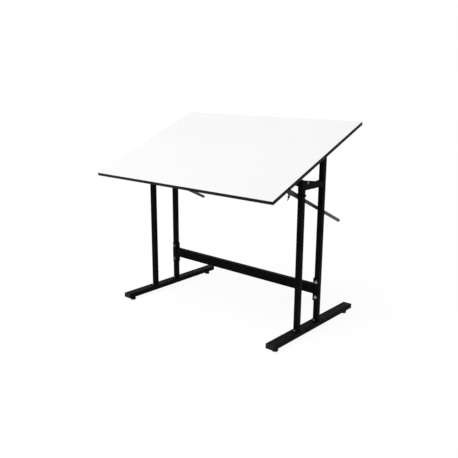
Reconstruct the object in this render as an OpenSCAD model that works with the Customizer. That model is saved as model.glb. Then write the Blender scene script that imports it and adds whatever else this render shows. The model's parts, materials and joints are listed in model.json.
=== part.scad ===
// Drafting table: a tilting worktop on two side frames that stand on levelling feet.
// X runs left to right, +Y to the rear, +Z up. The origin is on the floor at the middle.
// The worktop turns on the rear posts and is held by two rods in clamping sleeves.

/* [Worktop] */
// Width of the worktop, left to right
board_w = 1200; // [1150:10:1400]
// Depth of the worktop, measured along its slope
board_d = 800; // [760:10:840]
// Thickness of the worktop with its laminates
board_t = 18; // [16:1:22]
// Thickness of each laminate
laminate_t = 0.8; // [0.5:0.1:1.5]
// Thickness of the black edge band under the top laminate
band_t = 2; // [1:0.5:3]
// Slope of the worktop at rest
tilt = 22; // [20:1:24]
// Reach of the worktop in front of its pivot, along the slope
board_reach = 537; // [520:1:545]
// Depth of the pivot below the underside of the worktop
hinge_drop = 32; // [31:0.5:36]

/* [Side frames] */
// Distance from the middle to the centre of each side frame
side_x = 521.5; // [515:0.5:535]
// Front posts, centre
front_y = -84; // [-90:1:-80]
// Rear posts, centre
rear_y = 95; // [90:1:100]
// Side of the square post tube
post_w = 27; // [25:1:28]
// Wall of all the tubes
wall = 1.5; // [1.2:0.1:2]
// Top of the front posts
front_top = 758; // [750:1:760]
// Height of the worktop's pivot
pivot_z = 920; // [910:1:930]
// Length of the rear posts above the pivot
post_above = 15; // [14:0.5:16]

/* [Feet] */
// Width of the foot bars
bar_w = 51; // [45:1:60]
// Height of the foot bars
bar_h = 26; // [20:1:30]
// Front end of the foot bars, end caps included
bar_front = -309; // [-340:1:-300]
// Rear end of the foot bars, end caps included
bar_rear = 422; // [410:1:440]
// Height of a levelling foot below the bar
leveller_h = 20; // [18:1:24]
// Radius of a levelling foot
leveller_r = 16; // [14:0.5:20]
// Distance of a levelling foot from the end of its bar
leveller_inset = 43; // [22:1:60]

/* [Cross rails] */
// Height of the lower beam's centre
beam_z = 216; // [200:1:240]
// Height of the lower beam's section
beam_h = 52; // [40:1:60]
// Height of the top rail's section
rail_h = 30; // [25:1:32]
// Height of the brackets at the ends of the lower beam
bracket_h = 122; // [110:1:130]
// Distance between the two bolts of a beam bracket
bracket_pitch = 82; // [80:1:92]
// Thickness of the bracket's plate at the end of the beam
bracket_t = 5; // [4:0.5:6]
// Thickness of the bracket's lug in front of the post
lug_t = 2; // [2:0.5:5]

/* [Tilt rods] */
// Distance from the middle to each rod
rod_x = 494; // [493:0.5:495]
// Radius of the rods
rod_r = 9; // [7.5:0.1:9]
// Length from the rod's front pin to its tip
rod_len = 614; // [560:1:640]
// Height of the sleeve's swivel on the front post
swivel_z = 735.5; // [730:0.5:738]
// Distance of the rod's axis below the swivel, square to the rod
rod_drop = 7.2; // [6:0.1:8]
// Place of the rod's front pin along the slope, in front of the pivot
pin_u = 348; // [344:1:350]
// Height of the rod's front pin above the pivot, square to the slope
pin_w = 7; // [5:0.5:8]
// Outer radius of the clamping sleeve
sleeve_r = 12; // [11:0.5:12]
// Reach of the sleeve in front of its swivel
sleeve_front = 97; // [90:1:100]
// Reach of the sleeve behind its swivel
sleeve_back = 43; // [34:1:60]

/* [Hidden] */

$fn = 48;
LEFT = -1;
RIGHT = 1;
FRAME_BLACK = "#161616";
PLASTIC_BLACK = "#262626";
STEEL = "#8c8f92";
ROD_GREY = "#4b4c4e";
LAMINATE_WHITE = "#f4f4f2";

// Space left beside a turning or sliding face
play = 0.1;
// Radial clearance of a shaft in its hole
running = 0.05;
// A cut passes through a face by this much
cut = 1;

// Corners of the tubes
tube_round = 2.5;
bar_top = leveller_h + bar_h;
post_half = post_w / 2;
inner_face = side_x - post_half;
outer_face = side_x + post_half;

// Foot bars
cap_t = 3;
cap_plug = 12;
spigot_h = 35;
base_plate_t = 4;
base_toe = 14;
base_screw_y = -post_half - 6.5;
base_screw_r = 2.5;
post_foot = bar_top + base_plate_t;
leveller_ys = [bar_front + leveller_inset, bar_rear - leveller_inset];
stem_r = 4;
pad_h = 12;
collar_r = 9;
leveller_nut_h = 12;

// Arms that brace the front post tops to the rear posts
arm_t = 3;
arm_front = front_y - post_half;
arm_back = rear_y - post_half;
arm_high = front_top + 50;
arm_low = front_top + 24;
flange_t = 8;
socket_len = 22;
socket_z = [front_top - 3, front_top + 29];
flange_bolt_zs = [front_top + 8.5, front_top + 19.5];
flange_bolt_r = 3;
rail_bolt_y = front_y + 26;
rail_bolt_z = front_top + 36;
rail_bolt_r = 4;
end_plate_t = 4;
end_plate_len = 57;
arm_slope = (arm_high - arm_low) / (arm_back - flange_t - arm_front);

// Lower beam and its brackets
beam_bolt_r = 4;
bolt_flange_r = 8.5;
bolt_flange_t = 1.6;
beam_bolt_zs = [beam_z - bracket_pitch / 2, beam_z + bracket_pitch / 2];

// Worktop pivot
pivot_r = 5;
bush_t = 1.5;
bush_flange_r = 9.5;
bush_flange_t = 1;
bush_len = 9;
ear_t = 4;
ear_r = 14;
ear_in = post_half + bush_flange_t + play;
rail_t = 3;
rail_under = hinge_drop - rail_t;
board_rail_w = 70;
board_rail_x = 511;
board_rail_front = -410;
board_rail_back = 210;
board_screw_us = [-395, -270, -150, 75, 195];
board_screw_r = 2.25;

// Rods: G is the swivel on the front post, H is the pin on the worktop
pin_y = rear_y - pin_u * cos(tilt) - pin_w * sin(tilt);
pin_z = pivot_z - pin_u * sin(tilt) + pin_w * cos(tilt);
pin_reach = norm([front_y - pin_y, swivel_z - pin_z]);
rod_angle = atan2(swivel_z - pin_z, front_y - pin_y) - asin(rod_drop / pin_reach);
pin_s = sqrt(pin_reach * pin_reach - rod_drop * rod_drop);
pin_r = 4;
eye_t = 6;
eye_travel = 6.6;
eye_slot_r = 5.8;
eye_r = 10.4;
strut_ear_t = 3;
strut_ear_in = 4.2;
strut_ear_r = 12;
tube_start = 16;
rod_bore = 7;
cap_spigot = 14;
swivel_r = 4;
swivel_nut_h = 8;
plate_in = sleeve_r - 0.8;
plate_out = inner_face - rod_x - 0.5;
plate_len = 28;
plate_h = 30;
wing_u = -59;
wing_turn = -50;
boss_r = 7.5;
boss_reach = 15;
wing_stem_r = 4;
collar_gap = 23.5;
collar_len = 12;
collar_out = 13;

// ---------- outlines ----------

// Corner points of a rectangle with rounded corners, centred
function round_rect(w, h, r, steps = 4) = [
  for (corner = [0:3])
    let (cx = (corner == 0 || corner == 3 ? 1 : -1) * (w / 2 - r))
    let (cy = (corner < 2 ? 1 : -1) * (h / 2 - r))
    for (i = [0:steps])
      let (a = 90 * corner + 90 * i / steps)
      [cx + r * cos(a), cy + r * sin(a)]
];

// A slot with round ends that lie at y = -half and y = +half
function slot_points(r, half, steps = 12) = [
  for (i = [0:steps]) [r * cos(180 * i / steps), half + r * sin(180 * i / steps)],
  for (i = [0:steps]) [r * cos(180 + 180 * i / steps), -half + r * sin(180 + 180 * i / steps)]
];

// An ear: flat at the top, round about its pin below; the pin is the origin
function ear_points(half_w, top, r, steps = 14) = [
  [half_w, top], [-half_w, top],
  for (i = [0:steps]) [-r * cos(20 + 140 * i / steps), -r * sin(20 + 140 * i / steps)]
];

// ---------- shared shapes ----------

module on_side(side) {
  if (side < 0) mirror([1, 0, 0]) children();
  else children();
}

// Local Y lies along the slope to the rear and local Z is square to the worktop
module on_board() {
  translate([0, rear_y, pivot_z]) rotate([tilt, 0, 0]) children();
}

// Local Y lies along the right-hand rod's axis, rearwards and down; the swivel is straight above the origin
module on_rod() {
  translate([rod_x, front_y, swivel_z]) rotate([rod_angle, 0, 0]) translate([0, 0, -rod_drop]) children();
}

// An outline drawn in Y and Z, as thick in X as x1 - x0
module plate_x(x0, x1, points) {
  translate([x0, 0, 0]) rotate([90, 0, 90]) linear_extrude(x1 - x0) polygon(points);
}

module rod_x_dir(r, x0, x1) {
  translate([x0, 0, 0]) rotate([0, 90, 0]) cylinder(r = r, h = x1 - x0);
}

module rod_y_dir(r, y0, y1) {
  translate([0, y0, 0]) rotate([-90, 0, 0]) cylinder(r = r, h = y1 - y0);
}

// A hexagon across flats, standing along +Z
module hex(flats, h) {
  cylinder(r = flats / 2 / cos(30), h = h, $fn = 6);
}

module tube_z(w, d, h) {
  difference() {
    linear_extrude(h) polygon(round_rect(w, d, tube_round));
    translate([0, 0, -cut]) linear_extrude(h + 2 * cut)
      polygon(round_rect(w - 2 * wall, d - 2 * wall, tube_round - wall));
  }
}

// A nut with its face at z = 0, round a bolt of radius r
module nut(flats, h, r) {
  difference() {
    hex(flats, h);
    translate([0, 0, -cut]) cylinder(r = r, h = h + 2 * cut);
  }
}

// A hexagon-head bolt: the head stands on z = 0 and the shank goes down
module bolt(flats, head_h, r, length) {
  hex(flats, head_h);
  translate([0, 0, -length]) cylinder(r = r, h = length);
}

// A low round-head screw: the head stands on z = 0 and the shank goes down
module dome_screw(head_r, head_h, r, length) {
  cylinder(r1 = head_r, r2 = head_r * 0.6, h = head_h);
  translate([0, 0, -length]) cylinder(r = r, h = length);
}

// ---------- feet ----------

module foot_bar(side) {
  tube_len = bar_rear - bar_front - 2 * cap_t;
  color(FRAME_BLACK) on_side(side) difference() {
    translate([side_x, bar_rear - cap_t, leveller_h + bar_h / 2]) rotate([90, 0, 0])
      tube_z(bar_w, bar_h, tube_len);
    for (y = leveller_ys)
      translate([side_x, y, leveller_h - cut]) cylinder(r = stem_r + 0.5, h = wall + 2 * cut);
    for (y = [front_y, rear_y])
      translate([side_x, y + base_screw_y, bar_top - wall - cut])
        cylinder(r = base_screw_r + running, h = wall + 2 * cut);
  }
}

// Base plates on the foot bars, each with a block that its post is pushed over
module post_spigots() {
  spigot_w = post_w - 2 * wall - 0.4;
  color(FRAME_BLACK) for (side = [LEFT, RIGHT], y = [front_y, rear_y])
    on_side(side) translate([side_x, y, bar_top]) {
      difference() {
        translate([0, -base_toe / 2, 0])
          linear_extrude(base_plate_t) polygon(round_rect(post_w, post_w + base_toe, tube_round));
        translate([0, base_screw_y, -cut]) cylinder(r = base_screw_r + running, h = base_plate_t + 2 * cut);
      }
      linear_extrude(spigot_h) polygon(round_rect(spigot_w, spigot_w, 1));
    }
}

module foot_cap(side, front) {
  face_y = front ? bar_front : bar_rear;
  into = front ? 1 : -1;
  color(PLASTIC_BLACK) on_side(side) translate([side_x, face_y, leveller_h + bar_h / 2])
    rotate([-90 * into, 0, 0]) {
      linear_extrude(cap_t) polygon(round_rect(bar_w, bar_h, tube_round));
      translate([0, 0, cap_t]) difference() {
        linear_extrude(cap_plug) polygon(round_rect(bar_w - 2 * wall, bar_h - 2 * wall, 1));
        translate([0, 0, 1]) linear_extrude(cap_plug)
          polygon(round_rect(bar_w - 2 * wall - 5, bar_h - 2 * wall - 5, 1));
      }
    }
}

module leveller(side, front) {
  color(PLASTIC_BLACK) on_side(side)
    translate([side_x, leveller_ys[front ? 0 : 1], 0]) {
      cylinder(r1 = leveller_r - 1.5, r2 = leveller_r, h = 1.5);
      translate([0, 0, 1.5]) cylinder(r = leveller_r, h = pad_h - 4);
      translate([0, 0, pad_h - 2.5]) cylinder(r1 = leveller_r, r2 = collar_r + 2, h = 2.5);
      translate([0, 0, pad_h]) cylinder(r = collar_r, h = leveller_h - pad_h - play);
      translate([0, 0, pad_h]) cylinder(r = stem_r, h = leveller_h + leveller_nut_h - pad_h + 6);
    }
}

module leveller_nuts() {
  color(STEEL) for (side = [LEFT, RIGHT], y = leveller_ys)
    on_side(side) translate([side_x, y, leveller_h + wall]) nut(15, leveller_nut_h, stem_r + running);
}

module base_screws() {
  color(STEEL) for (side = [LEFT, RIGHT], y = [front_y, rear_y])
    on_side(side) translate([side_x, y + base_screw_y, post_foot])
      dome_screw(5.5, 2.8, base_screw_r, 14);
}

// ---------- posts ----------

module front_post(side) {
  color(FRAME_BLACK) on_side(side) difference() {
    translate([side_x, front_y, post_foot]) tube_z(post_w, post_w, front_top - post_foot);
    translate([0, front_y, swivel_z]) rod_x_dir(swivel_r + running + bush_t, inner_face - cut, outer_face + cut);
  }
}

module rear_post(side) {
  color(FRAME_BLACK) on_side(side) difference() {
    translate([side_x, rear_y, post_foot]) tube_z(post_w, post_w, pivot_z + post_above - post_foot);
    for (z = beam_bolt_zs)
      translate([side_x, rear_y, z]) rod_y_dir(beam_bolt_r + play, -post_half - cut, post_half + cut);
    for (z = flange_bolt_zs)
      translate([side_x, rear_y, z]) rod_y_dir(flange_bolt_r + play, -post_half - cut, post_half + cut);
    translate([0, rear_y, pivot_z])
      rod_x_dir(pivot_r + running + bush_t, inner_face - cut, outer_face + cut);
  }
}

module post_caps() {
  color(PLASTIC_BLACK) for (side = [LEFT, RIGHT])
    on_side(side) translate([side_x, rear_y, pivot_z + post_above]) {
      linear_extrude(2.5) polygon(round_rect(post_w, post_w, tube_round));
      translate([0, 0, -4]) linear_extrude(4) polygon(round_rect(post_w - 2 * wall, post_w - 2 * wall, 1));
    }
}

// ---------- arms and top rail ----------

// Side outline of the arm, drawn in by inset, with its lower edge at low
function arm_points(inset, low, back) = [
  [arm_front + inset, low],
  [back, low],
  [back, arm_low - inset],
  [arm_front + inset, arm_high - inset]
];

module arm(side) {
  color(FRAME_BLACK) on_side(side) difference() {
    union() {
      plate_x(inner_face, outer_face, arm_points(0, front_top, arm_back - flange_t));
      translate([inner_face, arm_back - socket_len, socket_z[0]])
        cube([post_w, socket_len, socket_z[1] - socket_z[0]]);
    }
    translate([inner_face + arm_t, arm_back - socket_len, front_top + arm_t])
      cube([post_w - 2 * arm_t, socket_len - flange_t, socket_z[1] - front_top - 2 * arm_t]);
    plate_x(inner_face + arm_t, outer_face - arm_t, arm_points(arm_t, front_top + arm_t, arm_back - flange_t));
    translate([inner_face + arm_t, front_y + post_half, front_top - cut])
      cube([post_w - 2 * arm_t, arm_back - socket_len - front_y - post_half, arm_t + 2 * cut]);
    translate([0, rail_bolt_y, rail_bolt_z]) rod_x_dir(rail_bolt_r + play, inner_face - cut, outer_face + cut);
    for (z = flange_bolt_zs)
      translate([side_x, arm_back, z]) rod_y_dir(flange_bolt_r + play, -flange_t - cut, cut);
  }
}

module top_rail() {
  plate_x1 = inner_face;
  plate_x0 = plate_x1 - end_plate_t;
  color(FRAME_BLACK) {
    translate([-plate_x0, front_y, arm_high - rail_h / 2]) rotate([0, 90, 0])
      tube_z(rail_h, post_w, 2 * plate_x0);
    for (side = [LEFT, RIGHT]) on_side(side) difference() {
      plate_x(plate_x0, plate_x1, [
        [arm_front, arm_high - rail_h],
        [arm_front + end_plate_len, arm_high - rail_h],
        [arm_front + end_plate_len, arm_high - arm_slope * end_plate_len],
        [arm_front + post_w, arm_high],
        [arm_front, arm_high]
      ]);
      translate([0, rail_bolt_y, rail_bolt_z]) rod_x_dir(rail_bolt_r + play, plate_x0 - cut, plate_x1 + cut);
    }
  }
}

module arm_bolts() {
  color(STEEL) for (side = [LEFT, RIGHT]) on_side(side) {
    translate([outer_face, rail_bolt_y, rail_bolt_z]) rotate([0, 90, 0])
      bolt(13, 5.3, rail_bolt_r, post_w + end_plate_t + 9);
    for (z = flange_bolt_zs)
      translate([side_x, rear_y + post_half, z]) rotate([-90, 0, 0])
        bolt(10, 4, flange_bolt_r, post_w + flange_t + 8);
  }
}

module arm_nuts() {
  color(STEEL) for (side = [LEFT, RIGHT]) on_side(side) {
    translate([inner_face - end_plate_t, rail_bolt_y, rail_bolt_z]) rotate([0, -90, 0])
      nut(13, 6.5, rail_bolt_r);
    for (z = flange_bolt_zs)
      translate([side_x, arm_back - flange_t, z]) rotate([90, 0, 0]) nut(10, 5, flange_bolt_r);
  }
}

// ---------- lower beam ----------

module lower_beam() {
  half = inner_face - bracket_t;
  color(FRAME_BLACK) translate([-half, rear_y, beam_z]) rotate([0, 90, 0])
    tube_z(beam_h, post_w, 2 * half);
}

module beam_bracket(side) {
  low = beam_z - bracket_h / 2;
  color(FRAME_BLACK) on_side(side) difference() {
    union() {
      translate([inner_face - bracket_t, rear_y - post_half - lug_t, low])
        cube([bracket_t, post_w + lug_t, bracket_h]);
      translate([inner_face - bracket_t, rear_y - post_half - lug_t, low])
        cube([post_w + bracket_t, lug_t, bracket_h]);
    }
    for (z = beam_bolt_zs)
      translate([side_x, rear_y - post_half, z]) rod_y_dir(beam_bolt_r + play, -lug_t - cut, cut);
  }
}

module beam_bolts() {
  color(STEEL) for (side = [LEFT, RIGHT], z = beam_bolt_zs)
    on_side(side) translate([side_x, rear_y - post_half - lug_t, z]) rotate([90, 0, 0]) {
      cylinder(r = bolt_flange_r, h = bolt_flange_t);
      translate([0, 0, bolt_flange_t])
        bolt(13, 4.5, beam_bolt_r, bolt_flange_t + lug_t + post_w + 9);
    }
}

module beam_nuts() {
  color(STEEL) for (side = [LEFT, RIGHT], z = beam_bolt_zs)
    on_side(side) translate([side_x, rear_y + post_half, z]) rotate([-90, 0, 0])
      nut(13, 6.5, beam_bolt_r);
}

// ---------- bushes in the posts ----------

// A flanged bush that is pushed in along -X; its flange stands on x = 0
module bush(r, length) {
  difference() {
    union() {
      rod_x_dir(r + running + bush_t, -length, 0);
      rod_x_dir(bush_flange_r, 0, bush_flange_t);
    }
    rod_x_dir(r + running, -length - cut, bush_flange_t + cut);
  }
}

module pivot_bushes() {
  color(PLASTIC_BLACK) for (side = [LEFT, RIGHT]) on_side(side) {
    translate([outer_face, rear_y, pivot_z]) bush(pivot_r, bush_len);
    translate([inner_face, rear_y, pivot_z]) mirror([1, 0, 0]) bush(pivot_r, bush_len);
  }
}

module swivel_bushes() {
  color(PLASTIC_BLACK) for (side = [LEFT, RIGHT]) on_side(side)
    translate([outer_face, front_y, swivel_z]) bush(swivel_r, post_w);
}

// ---------- worktop ----------

// A flat block of the worktop, between two heights above the pivot
module board_slab(w, front, back, low, high) {
  on_board() translate([-w / 2, front, low]) cube([w, back - front, high - low]);
}

board_back = board_d - board_reach;
board_low = hinge_drop;
board_high = hinge_drop + board_t;
band_top = board_high - laminate_t;

module board_core() {
  color("#b08d5f") board_slab(board_w - 2 * band_t, -board_reach + band_t, board_back - band_t,
    board_low + laminate_t, band_top);
}

module worktop_laminate() {
  color(LAMINATE_WHITE) board_slab(board_w, -board_reach, board_back, band_top, board_high);
}

module backing_laminate() {
  color(LAMINATE_WHITE) board_slab(board_w - 2 * band_t, -board_reach + band_t, board_back - band_t,
    board_low, board_low + laminate_t);
}

module edge_bands_long() {
  color(PLASTIC_BLACK) {
    board_slab(board_w, -board_reach, -board_reach + band_t, board_low, band_top);
    board_slab(board_w, board_back - band_t, board_back, board_low, band_top);
  }
}

module edge_bands_short() {
  color(PLASTIC_BLACK) for (side = [LEFT, RIGHT])
    on_board() translate([side * (board_w - band_t) / 2, (board_back - board_reach) / 2, (board_low + band_top) / 2])
      cube([band_t, board_d - 2 * band_t, band_top - board_low], center = true);
}

module board_rail(side) {
  color(FRAME_BLACK) on_side(side) difference() {
    on_board() translate([board_rail_x, (board_rail_front + board_rail_back) / 2, rail_under])
      linear_extrude(rail_t) polygon(round_rect(board_rail_w, board_rail_back - board_rail_front, 8));
    on_board() for (u = board_screw_us)
      translate([board_rail_x, u, rail_under - cut]) cylinder(r = board_screw_r + play, h = rail_t + 2 * cut);
  }
}

module board_screws() {
  color(STEEL) for (side = [LEFT, RIGHT]) on_side(side) on_board()
    for (u = board_screw_us) translate([board_rail_x, u, rail_under]) rotate([180, 0, 0])
      dome_screw(4.5, 2.5, board_screw_r, rail_t);
}

module hinge_bracket(side) {
  color(FRAME_BLACK) on_side(side) on_board() translate([side_x, 0, 0]) {
    translate([-ear_in - ear_t, -30, rail_under - ear_t]) cube([2 * (ear_in + ear_t), 60, ear_t]);
    for (turn = [0, 1]) mirror([turn, 0, 0]) difference() {
      plate_x(ear_in, ear_in + ear_t, ear_points(30, rail_under - ear_t, ear_r));
      rod_x_dir(pivot_r, ear_in - cut, ear_in + ear_t + cut);
    }
  }
}

module pivot_bolts() {
  color(STEEL) for (side = [LEFT, RIGHT]) on_side(side)
    translate([side_x + ear_in + ear_t, rear_y, pivot_z]) rotate([0, 90, 0])
      bolt(16, 6.4, pivot_r, 2 * (ear_in + ear_t) + 11);
}

module pivot_nuts() {
  color(STEEL) for (side = [LEFT, RIGHT]) on_side(side)
    translate([side_x - ear_in - ear_t, rear_y, pivot_z]) rotate([0, -90, 0]) nut(16, 8.5, pivot_r);
}

module strut_bracket(side) {
  top = rail_under - pin_w;
  color(FRAME_BLACK) on_side(side) on_board() translate([rod_x, -pin_u, pin_w]) {
    translate([-strut_ear_in - strut_ear_t, -22, top - strut_ear_t])
      cube([2 * (strut_ear_in + strut_ear_t), 44, strut_ear_t]);
    for (turn = [0, 1]) mirror([turn, 0, 0]) difference() {
      plate_x(strut_ear_in, strut_ear_in + strut_ear_t, ear_points(22, top - strut_ear_t, strut_ear_r));
      rod_x_dir(pin_r, strut_ear_in - cut, strut_ear_in + strut_ear_t + cut);
    }
  }
}

module strut_pins() {
  color(STEEL) for (side = [LEFT, RIGHT]) on_side(side)
    translate([rod_x + strut_ear_in + strut_ear_t, pin_y, pin_z]) rotate([0, 90, 0])
      bolt(13, 5.3, pin_r, 2 * (strut_ear_in + strut_ear_t) + 9);
}

module strut_nuts() {
  color(STEEL) for (side = [LEFT, RIGHT]) on_side(side)
    translate([rod_x - strut_ear_in - strut_ear_t, pin_y, pin_z]) rotate([0, -90, 0]) nut(13, 7, pin_r);
}

// ---------- clamping sleeves ----------

module sleeve(side) {
  color(ROD_GREY) on_side(side) on_rod() difference() {
    union() {
      rod_y_dir(sleeve_r, -sleeve_front, sleeve_back);
      translate([0, 0, rod_drop / 2]) plate_x(plate_in, plate_out, round_rect(plate_len, plate_h, 10));
      translate([0, 0, rod_drop])
        rod_x_dir(swivel_r, plate_out - 0.5, outer_face - rod_x + bush_flange_t + swivel_nut_h + 2);
      translate([0, wing_u, -boss_reach]) cylinder(r = boss_r, h = boss_reach);
    }
    rod_y_dir(rod_r + running, -sleeve_front - cut, sleeve_back + cut);
    translate([0, wing_u, -boss_reach - cut]) cylinder(r = wing_stem_r + running, h = boss_reach + cut);
  }
}

module swivel_nut(side) {
  color(FRAME_BLACK) on_side(side) on_rod()
    translate([outer_face - rod_x + bush_flange_t + play, 0, rod_drop]) rotate([0, 90, 0])
      nut(13, swivel_nut_h, swivel_r);
}

// A rounded wing that leans outwards from the hub
module wing() {
  tip = [15.5, 15.5];
  tip_r = 4.5;
  rotate([90, 0, 0]) translate([0, 0, -1.6]) linear_extrude(3.2) polygon([
    [3, 0],
    [7, 0],
    for (i = [0:8]) [tip[0] + tip_r * cos(-20 + 20 * i), tip[1] + tip_r * sin(-20 + 20 * i)],
    [3, 7]
  ]);
}

module wing_screw(side) {
  color(ROD_GREY) on_side(side) on_rod() translate([0, wing_u, -boss_reach - play]) rotate([180, 0, wing_turn]) {
    cylinder(r1 = 7, r2 = 5.5, h = 8);
    translate([0, 0, rod_r + 0.3 - boss_reach - play]) cylinder(r = wing_stem_r, h = boss_reach - rod_r);
    for (turn = [0, 1]) mirror([turn, 0, 0]) wing();
  }
}

// ---------- rods ----------

module rod(side) {
  color(ROD_GREY) on_side(side) on_rod() difference() {
    rod_y_dir(rod_r, -pin_s + tube_start, rod_len - pin_s - rod_r);
    rod_y_dir(rod_bore, -pin_s + tube_start - cut, rod_len - pin_s - rod_r + cut);
  }
}

module rod_eye(side) {
  color(ROD_GREY) on_side(side) on_rod() translate([0, -pin_s, 0]) difference() {
    union() {
      plate_x(-eye_t / 2, eye_t / 2, slot_points(eye_r, eye_travel));
      translate([-eye_t / 2, 0, -rod_r]) cube([eye_t, tube_start, 2 * rod_r]);
      rod_y_dir(rod_bore, tube_start - 1, tube_start + 22);
      rod_y_dir(rod_r, tube_start - 3, tube_start);
    }
    plate_x(-eye_t / 2 - cut, eye_t / 2 + cut, slot_points(eye_slot_r, eye_travel));
  }
}

module rod_cap(side) {
  color(PLASTIC_BLACK) on_side(side) on_rod() translate([0, rod_len - pin_s - rod_r, 0])
    rotate([-90, 0, 0]) rotate_extrude() polygon([
      [0, -cap_spigot],
      [rod_bore, -cap_spigot],
      [rod_bore, 0],
      [rod_r, 0],
      for (i = [1:8]) [rod_r * cos(90 * i / 8), rod_r * sin(90 * i / 8)]
    ]);
}

module stop_collar(side) {
  back = -sleeve_front - collar_gap;
  color(STEEL) on_side(side) on_rod() difference() {
    rod_y_dir(collar_out, back - collar_len, back);
    rod_y_dir(rod_r, back - collar_len - cut, back + cut);
  }
}

foot_bar(LEFT);  // foot_bar_left
foot_bar(RIGHT);  // foot_bar_right
foot_cap(LEFT, true);  // foot_cap_left_front
foot_cap(LEFT, false);  // foot_cap_left_rear
foot_cap(RIGHT, true);  // foot_cap_right_front
foot_cap(RIGHT, false);  // foot_cap_right_rear
leveller(LEFT, true);  // leveller_left_front
leveller(LEFT, false);  // leveller_left_rear
leveller(RIGHT, true);  // leveller_right_front
leveller(RIGHT, false);  // leveller_right_rear
leveller_nuts();
post_spigots();
base_screws();
front_post(LEFT);  // front_post_left
front_post(RIGHT);  // front_post_right
rear_post(LEFT);  // rear_post_left
rear_post(RIGHT);  // rear_post_right
post_caps();
arm(LEFT);  // arm_left
arm(RIGHT);  // arm_right
top_rail();
arm_bolts();
arm_nuts();
lower_beam();
beam_bracket(LEFT);  // beam_bracket_left
beam_bracket(RIGHT);  // beam_bracket_right
beam_bolts();
beam_nuts();
pivot_bushes();
swivel_bushes();
board_core();
worktop_laminate();
backing_laminate();
edge_bands_long();
edge_bands_short();
board_rail(LEFT);  // board_rail_left
board_rail(RIGHT);  // board_rail_right
board_screws();
hinge_bracket(LEFT);  // hinge_bracket_left
hinge_bracket(RIGHT);  // hinge_bracket_right
pivot_bolts();
pivot_nuts();
strut_bracket(LEFT);  // strut_bracket_left
strut_bracket(RIGHT);  // strut_bracket_right
strut_pins();
strut_nuts();
sleeve(LEFT);  // sleeve_left
sleeve(RIGHT);  // sleeve_right
swivel_nut(LEFT);  // swivel_nut_left
swivel_nut(RIGHT);  // swivel_nut_right
wing_screw(LEFT);  // wing_screw_left
wing_screw(RIGHT);  // wing_screw_right
rod(LEFT);  // rod_left
rod(RIGHT);  // rod_right
rod_eye(LEFT);  // rod_eye_left
rod_eye(RIGHT);  // rod_eye_right
rod_cap(LEFT);  // rod_cap_left
rod_cap(RIGHT);  // rod_cap_right
stop_collar(LEFT);  // stop_collar_left
stop_collar(RIGHT);  // stop_collar_right
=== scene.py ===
"""Looks for the drafting table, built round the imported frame.

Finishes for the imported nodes, detailed fasteners, feet and welds, and the light, floor and camera.
"""

import json
import math

import bmesh
import bpy
from mathutils import Matrix, Vector


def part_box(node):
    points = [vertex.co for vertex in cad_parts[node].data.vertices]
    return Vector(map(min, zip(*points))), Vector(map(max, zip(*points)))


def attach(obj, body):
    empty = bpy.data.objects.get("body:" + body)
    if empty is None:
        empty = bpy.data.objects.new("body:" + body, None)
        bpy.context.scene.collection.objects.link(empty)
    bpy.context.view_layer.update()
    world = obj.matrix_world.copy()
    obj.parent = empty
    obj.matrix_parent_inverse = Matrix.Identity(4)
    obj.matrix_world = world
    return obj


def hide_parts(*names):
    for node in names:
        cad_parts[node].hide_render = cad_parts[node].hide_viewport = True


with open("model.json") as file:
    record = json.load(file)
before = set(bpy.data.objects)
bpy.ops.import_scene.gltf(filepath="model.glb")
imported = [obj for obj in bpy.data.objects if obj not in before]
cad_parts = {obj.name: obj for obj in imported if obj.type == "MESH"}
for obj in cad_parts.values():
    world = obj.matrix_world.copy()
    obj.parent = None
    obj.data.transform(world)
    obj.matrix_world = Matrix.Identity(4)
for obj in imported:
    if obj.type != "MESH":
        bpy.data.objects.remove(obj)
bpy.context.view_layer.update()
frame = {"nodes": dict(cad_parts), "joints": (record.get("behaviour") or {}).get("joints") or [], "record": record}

NODES = frame["nodes"]
RECORD = frame["record"]
JOINTS = {joint["name"]: joint for joint in frame["joints"]}
MOUNTS = {mount["name"]: mount for mount in RECORD["mounts"]}
SLOT_OF = {part["node"]: part["material_slot"] for part in RECORD["subparts"]}
SIDES = {"left": -1, "right": 1}
POST_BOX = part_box("front_post_right")
POST_WIDTH = POST_BOX[1][0] - POST_BOX[0][0]
POST_HALF = POST_WIDTH / 2

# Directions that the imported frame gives
X_AXIS = Vector((1, 0, 0))
TO_FRONT = Vector((0, -1, 0))
TO_BACK = Vector((0, 1, 0))
UP = Vector((0, 0, 1))
board_up = Vector(MOUNTS["worktop"]["axis"])
board_back = Vector((0, board_up.z, -board_up.y))
rod_back = Vector(JOINTS["rod_right_slide"]["axis"])
rod_up = Vector((0, -rod_back.z, rod_back.y))
# Turns that lay a texture along the slope of the worktop, and along the rods
BOARD_TURN = (-math.atan2(-board_up.y, board_up.z), 0, 0)
ROD_TURN = (-math.atan2(rod_back.z, rod_back.y), 0, 0)


# ---------- shader helpers ----------


def new_material(name, **values):
    """A material with its Principled shader's own sockets set to the values given."""
    material = bpy.data.materials.new(name)
    material.use_nodes = True
    shader = material.node_tree.nodes["Principled BSDF"]
    for key, value in values.items():
        shader.inputs[key.replace("_", " ")].default_value = value
    return material, material.node_tree, shader


def add_node(tree, kind, settings=None, **inputs):
    """A node with its settings and inputs. An input may be a value or another node's output."""
    node = tree.nodes.new(kind)
    for key, value in (settings or {}).items():
        setattr(node, key, value)
    for key, value in inputs.items():
        socket = node.inputs[int(key[1:])] if key[0] == "i" and key[1:].isdigit() else node.inputs[key]
        if isinstance(value, bpy.types.NodeSocket):
            tree.links.new(value, socket)
        else:
            socket.default_value = value
    return node


def place(tree, stretch=(1, 1, 1), turn=(0, 0, 0)):
    """Object coordinates, stretched and turned."""
    coords = add_node(tree, "ShaderNodeTexCoord").outputs["Object"]
    mapping = add_node(tree, "ShaderNodeMapping", Vector=coords, Scale=stretch, Rotation=turn)
    return mapping.outputs["Vector"]


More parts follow.
